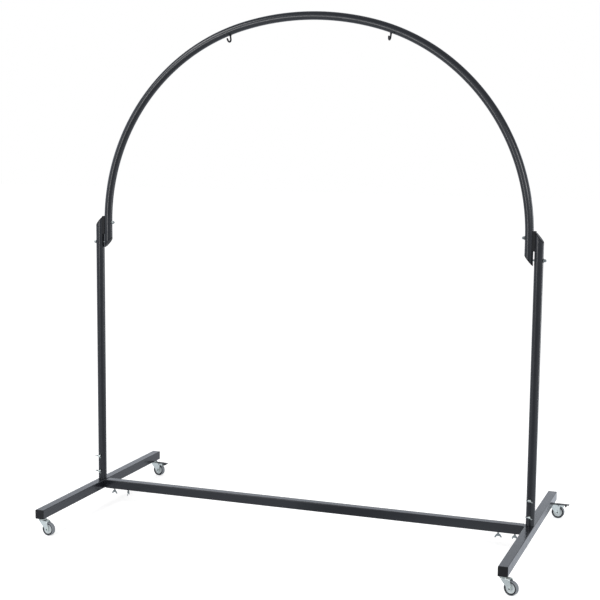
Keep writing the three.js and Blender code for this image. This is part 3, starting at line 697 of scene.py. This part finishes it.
# Geometry Nodes: a round rod along a path, with a ball at each end that rounds it off
def rodTree():
    tree, sizes = startTree("bentRod", hook, "rod sides")
    line = addNode(tree, "GeometryNodeMeshToCurve", {"Mesh": sizes["Geometry"]})
    rod = rodAlong(tree, line, sizes["sides"], sizes["rod"])
    ends = addNode(tree, "GeometryNodeCurveEndpointSelection", {"Start Size": 1, "End Size": 1})
    ball = addNode(tree, "GeometryNodeMeshUVSphere", {
        "Segments": sizes["sides"], "Rings": 16, "Radius": sizes["rod"]})
    balls = addNode(tree, "GeometryNodeInstanceOnPoints", {
        "Points": line, "Selection": ends, "Instance": ball})
    whole = addNode(tree, "GeometryNodeJoinGeometry", {"Geometry": [rod, balls]})
    return endTree(tree, whole, blackenedSteel)


def hookPath():
    low, bend, tip = -arch["radius"] - hook["shank"], hook["bend"], hook["tip"]
    path = [(0.0, 0.0, hook["start"]), (0.0, 0.0, low)]
    for i in range(1, hook["bendSteps"] + 1):
        angle = math.radians(hook["bendDegrees"] * i / hook["bendSteps"])
        path.append((0.0, bend * (math.cos(angle) - 1), low - bend * math.sin(angle)))
    _, y, z = path[-1]
    return path + [(0.0, y - tip * math.sin(angle), z - tip * math.cos(angle))]


# The fillet of weld round a hook's root, a little uneven as a hand lays it
def hookWeldMesh():
    reach, fall, sink, rows, rod = pick(hook, "weldReach weldFall weldSink weldRows rod")
    start, inner = sink - arch["radius"], rod - 0.001
    profile = [(inner, start), (reach, start)]
    for i in range(1, rows):
        share = i / rows
        profile.append((reach - (reach - rod + 0.0002) * share ** 0.8, start - sink - fall * share ** 1.5))
    profile.append((inner, start - sink - fall))
    mesh = turned(profile, 48)
    for corner in mesh.vertices:
        angle = math.atan2(corner.co.y, corner.co.x)
        wave = 1 + 0.05 * math.sin(7 * angle) + 0.04 * math.sin(11 * angle + 1)
        corner.co.x, corner.co.y = corner.co.x * wave, corner.co.y * wave
    return mesh


def makeHooks():
    tree = rodTree()
    for word, side in sides.items():
        rod = facingOut(grow(tree, hook, pathMesh([hookPath()])))
        makePiece(f"{word}_hook", [rod, facingOut(hookWeldMesh())], blackenedSteel, [
            turn("Z", hook["turns"][word]), turn("Y", side * hook["leanDegrees"]),
            shift(side * hook["x"], 0, archHeight(hook["x"]))])


# Casters, round their swivel axis with the trail towards +X and heights from the floor
caster = {
    "turns": {"front_left": -8, "front_right": -18, "back_left": -9, "back_right": -2},
    "stemTop": 0.100, "stem": 0.005, "collarAcross": 0.017, "collarCorner": 0.0107, "collarLow": 0.074,
    "collarHigh": 0.0777, "raceRadius": 0.018, "raceLow": 0.0715,
    "ringRadius": 0.015, "ringBore": 0.0055, "ringLow": 0.0696, "ringHigh": 0.0712,
    "headRadius": 0.008, "headLow": 0.0645, "headHigh": 0.0665,
    "balls": 18, "ballCircle": 0.0163, "ballRadius": 0.0011, "ballHeight": 0.0704,
}
fork = {
    "top": 0.0693, "low": 0.0668, "radius": 0.019, "bore": 0.0056, "inside": 0.0115, "outside": 0.0135,
    "back": -0.008, "front": 0.032, "brakedFront": 0.046, "skirt": 0.005, "endRadius": 0.0095,
    "trail": 0.034, "axleHeight": 0.030, "bend": 0.0034, "reach": 0.030, "brakedReach": 0.020,
    "stripDegrees": 30,
}
axle = {
    "radius": 0.004, "across": 0.013, "corner": 0.0083, "headHeight": 0.005, "gap": 0.0003,
    "washer": 0.0076, "washerHeight": 0.0010, "hollow": 0.0034, "hollowDepth": 0.0060,
    "coreRadius": 0.0030, "coreDrop": 0.0008, "coreHeight": 0.0020,
}
wheel = {
    "radius": 0.030, "rim": 0.0206, "hub": 0.008, "hubHalf": 0.011, "rimHalf": 0.009, "bore": 0.0043,
    "tyreHalf": 0.010, "shoulder": 0.0025, "tyreGap": 0.0003, "ringEdge": 0.0266, "ringDepth": 0.0026,
}
pedal = {
    "pinX": 0.038, "pinZ": 0.0643, "half": 0.011, "pin": 0.0015, "pinHead": 0.0035, "pinHeadHeight": 0.0015,
    "pinGap": 0.0003, "barrel": 0.003, "bore": 0.0018, "swingDegrees": 8, "lift": 0.001, "thickness": 0.002,
    "leverReach": 0.0297, "shoeRadius": 0.03056, "shoeFromDegrees": 72, "shoeToDegrees": 40,
    "shoeSheet": 0.0015, "coverGap": 0.0003, "coverFrom": -0.014, "coverReach": 0.049,
    "coverThickness": 0.002, "corner": 0.003, "ribFrom": 0.030, "ribLength": 0.007, "ribDepth": 0.009,
    "grips": 5, "gripFrom": 0.0215, "gripStep": 0.0055, "gripWidth": 0.0016, "gripHeight": 0.0005,
    "gripInset": 0.0028, "backCorner": 0.001,
}


def stemMesh():
    low, high, across, corner = pick(caster, "collarLow collarHigh collarAcross collarCorner")
    head, headLow, headHigh = pick(caster, "headRadius headLow headHigh")
    race, raceLow, stem, top = pick(caster, "raceRadius raceLow stem stemTop")
    return turned([
        (0.001, headLow), (head - 0.002, headLow), (head - 0.0006, headLow + 0.0004), (head, headLow + 0.001),
        (head, headHigh), (stem, headHigh), (stem, raceLow), (race - 0.0006, raceLow),
        (race, raceLow + 0.0006), (race, low - 0.0009), (race - 0.0004, low - 0.0003), (race - 0.0012, low),
        (corner + 0.0005, low), (corner, low, across), (corner, high - 0.0006, across),
        (corner - 0.0015, high, across), (stem, high), (stem, top - 0.0005), (stem - 0.0005, top)])


def ringMesh():
    return collar(*pick(caster, "ringBore ringRadius ringLow ringHigh"))


# Geometry Nodes: a ring of balls round each given point
def ballTree():
    tree, sizes = startTree("casterBalls", caster, "balls ballCircle ballRadius")
    circleOfPoints = addNode(tree, "GeometryNodeMeshCircle", {
        "Vertices": sizes["balls"], "Radius": sizes["ballCircle"]})
    ball = addNode(tree, "GeometryNodeMeshIcoSphere", {"Radius": sizes["ballRadius"], "Subdivisions": 3})
    row = addNode(tree, "GeometryNodeInstanceOnPoints", {"Points": circleOfPoints, "Instance": ball})
    rows = addNode(tree, "GeometryNodeInstanceOnPoints", {"Points": sizes["Geometry"], "Instance": row})
    return endTree(tree, rows, zincPlate)


# Where a line from a point touches the fork's round end, on the given hand
def touchAngle(x, z, hand):
    dx, dz = x - fork["trail"], z - fork["axleHeight"]
    return math.degrees(math.atan2(dz, dx) + hand * math.acos(fork["endRadius"] / math.hypot(dx, dz)))


# The side of the fork, in X and Z, down to a round end at the axle
def cheekOutline(front, top):
    back, ahead = (fork["back"], fork["low"] - fork["skirt"]), (front, fork["low"])
    end = arc(fork["trail"], fork["axleHeight"], fork["endRadius"], touchAngle(*back, 1),
              touchAngle(*ahead, -1) + 360, 24)
    return [back] + end + [ahead, (front, top), (fork["back"], top)]


# Pressed from one sheet: two cheeks, the bends along their tops, the bridge and the round plate
def forkMesh(braked):
    bend, thick = fork["bend"], fork["outside"] - fork["inside"]
    front, reach = pick(fork, "brakedFront brakedReach" if braked else "front reach")
    cheekTop = fork["top"] - bend
    meshes = []
    for hand in (-1, 1):
        cheek = prism(cheekOutline(front, cheekTop), fork["inside"], fork["outside"], 0.0005, 2)
        meshes.append(facingOut(placed(cheek, turn("X", 90), Matrix.Scale(-hand, 4, (0, 1, 0)))))

    def bentStrip(toDegrees):
        middle = fork["outside"] - bend
        return (arc(middle, cheekTop, bend, 0, toDegrees, 8),
                arc(middle, cheekTop, bend - thick, toDegrees, 0, 8))

    outer, inner = bentStrip(90)
    section = outer + [(-y, z) for y, z in outer[::-1]] + [(-y, z) for y, z in inner[::-1]] + inner
    runs = [(section, fork["back"] + 0.0003, reach, 0.0004)]
    if braked:  # past the pedal's slot only the bends of the cheeks go on
        outer, inner = bentStrip(fork["stripDegrees"])
        runs += [([(hand * y, z) for y, z in outer + inner], reach - 0.001, front - 0.0003, 0.0003)
                 for hand in (-1, 1)]
    meshes += [facingOut(skin([[(x, y, z) for y, z in shape] for x in (start, end)]), bevel, 2)
               for shape, start, end, bevel in runs]
    top, low, radius, bore = pick(fork, "top low radius bore")
    meshes.append(turned([(bore, low), (radius - 0.0007, low), (radius - 0.0002, low + 0.0003),
                          (radius, low + 0.0008), (radius, top - 0.0010), (radius - 0.0004, top - 0.0003),
                          (radius - 0.0011, top), (bore, top)], loop=True))
    return meshes


# The axle: a hexagon head on one side, a washer and a nut on the hollow end on the other
def axleMesh():
    start = fork["outside"] + axle["gap"]
    end, low = start + axle["headHeight"], start + axle["washerHeight"]
    across, corner, washer, bolt, hollow, deep = pick(axle, "across corner washer radius hollow hollowDepth")
    head = [(0.0062, start), (corner, start + 0.0001, across), (corner, end - 0.0007, across),
            (0.0072, end, across), (0.0035, end), (0.0032, end - 0.0004), (0.0005, end - 0.0004)]
    nut = [(washer - 0.0002, start), (washer, start + 0.0002), (washer, low - 0.0002), (washer - 0.0003, low),
           (0.0074, low), (0.0073, low + 0.0001, across), (corner, end - 0.0018, across),
           (0.0071, end - 0.0011, across), (0.0052, end - 0.0010), (bolt + 0.0003, end - 0.0012),
           (bolt, end - 0.0008), (bolt, end - 0.0003), (bolt - 0.0003, end), (hollow, end),
           (hollow - 0.0003, end - 0.0004), (hollow - 0.0003, end - deep), (0.0004, end - deep - 0.0005)]
    far = [(r, -z, *rest) for r, z, *rest in reversed(head)]
    return turned(far + [(bolt, -start), (bolt, start)] + nut)


# A dark disc at the bottom of the axle's hollow end: painted shade in the hollow
def hollowShadeMesh():
    high = fork["outside"] + axle["gap"] + axle["headHeight"] - axle["coreDrop"]
    low, radius = high - axle["coreHeight"], axle["coreRadius"]
    return turned([
        (0.0005, low), (radius, low), (radius, high - 0.0002), (radius - 0.0002, high), (0.0005, high)], 32)


def wheelMesh():
    hub, rim, hubHalf, rimHalf, bore = pick(wheel, "hub rim hubHalf rimHalf bore")
    half = [(bore, hubHalf - 0.0003), (bore + 0.0003, hubHalf), (hub - 0.0008, hubHalf),
            (hub - 0.0002, hubHalf - 0.0003), (hub, hubHalf - 0.0009), (hub + 0.0004, rimHalf - 0.0012),
            (hub + 0.0013, rimHalf - 0.0019), (hub + 0.0028, rimHalf - 0.0021),
            (rim - 0.0032, rimHalf - 0.0016), (rim - 0.0021, rimHalf - 0.0011),
            (rim - 0.0016, rimHalf - 0.0004), (rim - 0.0011, rimHalf), (rim - 0.0004, rimHalf),
            (rim, rimHalf - 0.0004)]
    return turned(half + [(r, -y) for r, y in reversed(half)], 96, loop=True)


# A tyre with a ring sunk beside the rim; the mark is 0 on that ring, which is painted near black as shade in
# the recess, and 1 on shoulder and tread
def tyreMesh():
    inner, half, shoulder = wheel["rim"] + wheel["tyreGap"], wheel["tyreHalf"], wheel["shoulder"]
    edge, deep, bendAt = wheel["ringEdge"], half - wheel["ringDepth"], wheel["radius"] - shoulder
    side = [(inner, deep - 0.0010, 0), (inner + 0.0003, deep - 0.0002, 0), (inner + 0.0008, deep, 0),
            (edge - 0.0006, deep, 0), (edge - 0.0001, deep + 0.0003, 0.2), (edge + 0.0002, half - 0.0003, 1),
            (edge + 0.0006, half, 1)]
    for i in range(9):
        angle = math.pi / 2 * i / 8
        side.append((bendAt + shoulder * math.sin(angle), half - shoulder + shoulder * math.cos(angle), 1))
    whole = side + [(r, -y, mark) for r, y, mark in reversed(side)]
    return turned([(r, y) for r, y, _ in whole], 96, loop=True, marks=[mark for _, _, mark in whole])


# The brake lever on its pin: a rolled barrel, a plate and the shoe's two sides and curved sole
def leverMesh():
    half, sheet, low, barrel, bore, end = pick(pedal, "half shoeSheet lift barrel bore leverReach")
    roll = collar(bore, barrel, -half, half, 32)
    top = low + pedal["thickness"]
    plate = prism([(bore, low), (end, low), (end, top), (bore, top)], -half, half, 0.0004, 2)
    centre = (fork["trail"] - pedal["pinX"], fork["axleHeight"] - pedal["pinZ"])
    radius, start, stop, swing = pick(pedal, "shoeRadius shoeFromDegrees shoeToDegrees swingDegrees")
    face, backs = (swung(arc(*centre, radius + out, start, stop, 16), swing) for out in (0, sheet))
    sole = prism(face + backs[::-1], -half, half, 0.0003, 2)
    middle = (low + top) / 2
    flank = face + [(face[-1][0], middle), (face[0][0], middle)]
    flanks = [prism(flank, side, side + sheet, 0.0003, 2) for side in (-half, half - sheet)]
    return [roll, plate, sole] + flanks


# The shoe as it hangs at rest, swung back from where it meets the tread
def swung(points, degrees):
    c, s = math.cos(math.radians(degrees)), math.sin(math.radians(degrees))
    return [(x * c - z * s, x * s + z * c) for x, z in points]


# The foot cover on the lever: round corners, low grips on its top and a deep rib near its tip
def coverMesh():
    half, corner, small, start, end = pick(pedal, "half corner backCorner coverFrom coverReach")
    low = pedal["lift"] + pedal["thickness"] + pedal["coverGap"]
    top = low + pedal["coverThickness"]
    plan = (arc(end - corner, half - corner, corner, 90, 0, 8)
            + arc(end - corner, corner - half, corner, 0, -90, 8)
            + arc(start + small, small - half, small, -90, -180, 4)
            + arc(start + small, half - small, small, 180, 90, 4))
    plate = prism(plan, low, top, 0.0006, 3)
    ribFrom, ribLow = pedal["ribFrom"], low - pedal["ribDepth"]
    ribTo = ribFrom + pedal["ribLength"]
    outline = [(ribFrom, low + 0.0010), (ribFrom + 0.0003, ribLow), (ribTo - 0.0006, ribLow),
               (ribTo, low + 0.0010)]
    rib = placed(prism(outline, -half + 0.0001, half - 0.0001, 0.0008, 3), turn("X", 90))
    meshes = [plate, rib]
    for i in range(pedal["grips"]):
        x = pedal["gripFrom"] + i * pedal["gripStep"]
        wide, high = pedal["gripWidth"] / 2, pedal["gripHeight"]
        side, narrow = half - pedal["gripInset"], wide * 0.6
        grip = [(x - wide, top - 0.0003), (x + wide, top - 0.0003), (x + narrow, top + high),
                (x - narrow, top + high)]
        meshes.append(placed(prism(grip, -side, side, 0.0003, 2), turn("X", 90)))
    return meshes


def pinMesh():
    start = fork["outside"] + pedal["pinGap"]
    end, reach = start + pedal["pinHeadHeight"], pedal["pinHead"]
    head = [(pedal["pin"], start), (reach, start), (reach, start + 0.0006), (reach - 0.0006, end - 0.0003),
            (reach - 0.0018, end), (0.0003, end)]
    return turned([(r, -z) for r, z in reversed(head)] + head, 48)


def makeCasters():
    for name, degrees in caster["turns"].items():
        end, word = name.split("_")
        braked = end == "back"
        at = shift(sides[word] * base["postX"], base["casterY"] if braked else -base["casterY"], 0)
        turnedTo = [turn("Z", degrees), at]
        onAxle = [turn("X", 90), shift(fork["trail"], 0, fork["axleHeight"])] + turnedTo
        onPin = [shift(pedal["pinX"], 0, pedal["pinZ"])] + turnedTo
        alongPin = [turn("X", 90)] + onPin
        swivels, rolls, tips = f"{name}_caster", f"{name}_wheel", f"{name}_pedal"
        title = end + word.capitalize()
        makePiece(f"{name}_caster_stem", [stemMesh()], zincPlate, [at], name=title + "Stem")
        makePiece(f"{name}_swivel_ring", [ringMesh()], zincPlate, [at])
        makePiece(f"{name}_fork", forkMesh(braked), zincPlate, turnedTo, swivels)
        makePiece(f"{name}_axle", [axleMesh()], zincPlate, onAxle, swivels)
        # A dark disc in the axle's hollow end, as painted shade
        makePiece(None, [hollowShadeMesh()], blackenedSteel, onAxle, swivels, title + "AxleCore")
        makePiece(f"{name}_wheel", [wheelMesh()], wheelPlastic, onAxle, rolls)
        makePiece(f"{name}_tyre", [tyreMesh()], tyreRubber, onAxle, rolls)
        if braked:
            makePiece(f"{name}_brake_lever", leverMesh(), zincPlate, alongPin, tips)
            makePiece(f"{name}_pedal_cover", coverMesh(), pedalNylon, onPin, tips)
            makePiece(f"{name}_pedal_pin", [pinMesh()], greyZincAndPaintedShade, alongPin, swivels)
    centres = [(side * base["postX"], y, caster["ballHeight"]) for side in sides.values()
               for y in (-base["casterY"], base["casterY"])]
    balls = grow(ballTree(), caster, pathMesh([[centre] for centre in centres]))
    makePiece(None, [balls], zincPlate, name="casterBalls")


# Weld beads where the bosses and the crossbar's spigots meet their tubes
weld = {"step": 0.0015, "bead": 0.0011, "least": 0.85, "most": 1.2, "seed": 7, "ringSteps": 32}


# Geometry Nodes: overlapping beads along closed paths, each a little different in size
def weldTree():
    tree, sizes = startTree("weldBeads", weld, "step bead least most seed")
    line = addNode(tree, "GeometryNodeMeshToCurve", {"Mesh": sizes["Geometry"]})
    points = addNode(tree, "GeometryNodeCurveToPoints", {
        "Curve": line, "Length": sizes["step"]}, mode="LENGTH")
    bead = addNode(tree, "GeometryNodeMeshIcoSphere", {"Radius": sizes["bead"], "Subdivisions": 2})
    size = addNode(tree, "FunctionNodeRandomValue", {
        2: sizes["least"], 3: sizes["most"], "Seed": sizes["seed"]}, data_type="FLOAT")
    beads = addNode(tree, "GeometryNodeInstanceOnPoints", {
        "Points": points, "Instance": bead, "Rotation": points.outputs["Rotation"], "Scale": size})
    return endTree(tree, beads, powderCoat)


def makeWelds():
    reach, steps = wing["bossRadius"], weld["ringSteps"]
    angles = [2 * math.pi * i / steps for i in range(steps)]
    ring = [(reach * math.cos(a), reach * math.sin(a)) for a in angles]
    half = base["tube"] / 2
    inside = half - base["wall"] - base["spigotGap"]
    loops = []
    for side in sides.values():
        for place in wing["places"].values():
            loops.append([(side * base["postX"] + x, -math.sqrt(post["radius"] ** 2 - x * x),
                           base["top"] + place + z) for x, z in ring])
            loops.append([(side * wingX(place) + x, y, base["middle"] - half) for x, y in ring])
        loops.append([(side * (base["postX"] - half), y, base["middle"] + z)
                      for y, z, _ in square(inside, base["spigotCorner"], 0)])
    beads = grow(weldTree(), weld, pathMesh(loops, loop=True))
    makePiece(None, [beads], powderCoat, name="weldBeads")


makeBase()
print("legs and crossbar made")
makePosts()
makeArch()
makeJoints()
makeHooks()
print("posts, arch, joints and hooks made")
makeWingScrews()
makeCasters()
makeWelds()
print("wing screws, casters and welds made")

# A pale floor and a white room; the white is seen directly and in reflections. Towards three sides a
# reflection's level changes between two shares of the way there.
studio = {
    "floorSize": 60.0, "floor": "#f2f2f2", "floorGlow": 0.5, "floorGlowReflected": 0.2, "room": "#ffffff",
    "roomReflected": "#eff5ff", "roomOnMatt": 0.62, "levelBelow": 1.4,
    "ahead": {"way": (0.34, -0.94, 0.0), "from": 0.6, "to": 0.98, "level": 0.55},
    "side": {"way": (0.94, 0.34, 0.0), "from": 0.1, "to": 0.9, "level": 1.2},
    "up": {"way": (0.0, 0.0, 1.0), "from": 0.12, "to": 0.5, "level": 0.6},
}

# Soft lights: the key high on the left, a fill and a low strip in front, one on the right, one behind
lights = {
    "key": {"place": (-3.4, -3.0, 4.4), "aim": (0.0, 0.0, 1.2), "size": (2.2, 2.2), "power": 90.0},
    "fill": {"place": (-1.4, -3.6, 1.5), "aim": (0.8, 0.0, 1.6), "size": (1.1, 1.04), "power": 21.0},
    "side": {"place": (4.8, -3.8, 3.0), "aim": (0.9, 0.0, 1.8), "size": (1.6, 2.0), "power": 72.0},
    "strip": {"place": (-1.5, -3.6, 0.75), "aim": (0.0, 0.0, 0.9), "size": (0.9, 1.0), "power": 4.0},
    "edge": {"place": (3.6, 1.9, 1.0), "aim": (1.06, 0.0, 1.2), "size": (0.8, 1.9), "power": 24.0},
}


# 1 for what the camera sees directly, in a reflection or through glass
def seenDirectly(tree):
    path = addNode(tree, "ShaderNodeLightPath").outputs
    seen = addNode(tree, "ShaderNodeMath", {
        0: path["Is Camera Ray"], 1: path["Is Glossy Ray"]}, operation="MAXIMUM")
    return addNode(tree, "ShaderNodeMath", {0: seen, 1: path["Is Transmission Ray"]}, operation="MAXIMUM")


# How bright the room looks towards one side in a reflection, from the given level to the side's own
def levelTowards(tree, vector, side, level=1.0):
    row = studio[side]
    share = addNode(tree, "ShaderNodeVectorMath", {0: vector, 1: row["way"]}, operation="DOT_PRODUCT")
    return addNode(tree, "ShaderNodeMapRange", {
        "Value": share, "From Min": row["from"], "From Max": row["to"], "To Min": level,
        "To Max": row["level"]}, interpolation_type="SMOOTHSTEP")


# White to the eye; in a reflection cooler, and at the given level
def roomColor(tree, level):
    glossy = addNode(tree, "ShaderNodeLightPath").outputs["Is Glossy Ray"]
    seenLevel = addNode(tree, "ShaderNodeMapRange", {"Value": glossy, "To Min": 1.0, "To Max": level})
    color = addNode(tree, "ShaderNodeMix", {
        "Factor": glossy, 6: studio["room"], 7: studio["roomReflected"]}, data_type="RGBA")
    return addNode(tree, "ShaderNodeVectorMath", {0: color, "Scale": seenLevel}, operation="SCALE"), glossy


def makeFloor():
    material = bpy.data.materials.new("paleFloor")
    tree = emptyTree(material)
    place = addNode(tree, "ShaderNodeTexCoord").outputs["Object"]
    away = addNode(tree, "ShaderNodeVectorMath", {0: place}, operation="NORMALIZE")
    level = addNode(tree, "ShaderNodeMath", {
        0: levelTowards(tree, away, "ahead"), 1: levelTowards(tree, away, "side")}, operation="MULTIPLY")
    color, glossy = roomColor(tree, level)
    paint = addNode(tree, "ShaderNodeVectorMath", {
        0: color, 1: tuple(linear(studio["floor"])[:3])}, operation="MULTIPLY")
    matt = addNode(tree, "ShaderNodeBsdfDiffuse", {"Color": paint})
    glowLevel = addNode(tree, "ShaderNodeMapRange", {
        "Value": glossy, "To Min": studio["floorGlow"], "To Max": studio["floorGlowReflected"]})
    strength = addNode(tree, "ShaderNodeMath", {0: seenDirectly(tree), 1: glowLevel}, operation="MULTIPLY")
    glow = addNode(tree, "ShaderNodeEmission", {"Color": color, "Strength": strength})
    both = addNode(tree, "ShaderNodeAddShader", {0: matt, 1: glow})
    addNode(tree, "ShaderNodeOutputMaterial", {"Surface": both})
    half = studio["floorSize"] / 2
    mesh = bpy.data.meshes.new("floor")
    corners = [(-half, -half, 0), (half, -half, 0), (half, half, 0), (-half, half, 0)]
    mesh.from_pydata(corners, [], [(0, 1, 2, 3)])
    mesh.materials.append(material)
    floor = addObject("floor", mesh)


def makeRoom():
    room = bpy.data.worlds.new("whiteRoom")
    tree = emptyTree(room)
    seen = addNode(tree, "ShaderNodeMapRange", {
        "Value": seenDirectly(tree), "To Min": studio["roomOnMatt"], "To Max": 1.0})
    away = addNode(tree, "ShaderNodeTexCoord").outputs["Generated"]
    color, _ = roomColor(tree, levelTowards(tree, away, "up", studio["levelBelow"]))
    light = addNode(tree, "ShaderNodeBackground", {"Color": color, "Strength": seen})
    addNode(tree, "ShaderNodeOutputWorld", {"Surface": light})
    bpy.context.scene.world = room


def makeLight(name, place, aim, size, power):
    light = bpy.data.lights.new(name + "Light", "AREA")
    light.shape = "RECTANGLE"
    light.size, light.size_y = size
    light.energy = power
    lamp = addObject(name + "Light", light)
    lamp.location = place
    lamp.rotation_euler = (Vector(aim) - lamp.location).to_track_quat("-Z", "Y").to_euler()


makeFloor()
makeRoom()
for name, row in lights.items():
    makeLight(name, **row)
bpy.context.scene.view_settings.view_transform = "Standard"
print("studio ready")
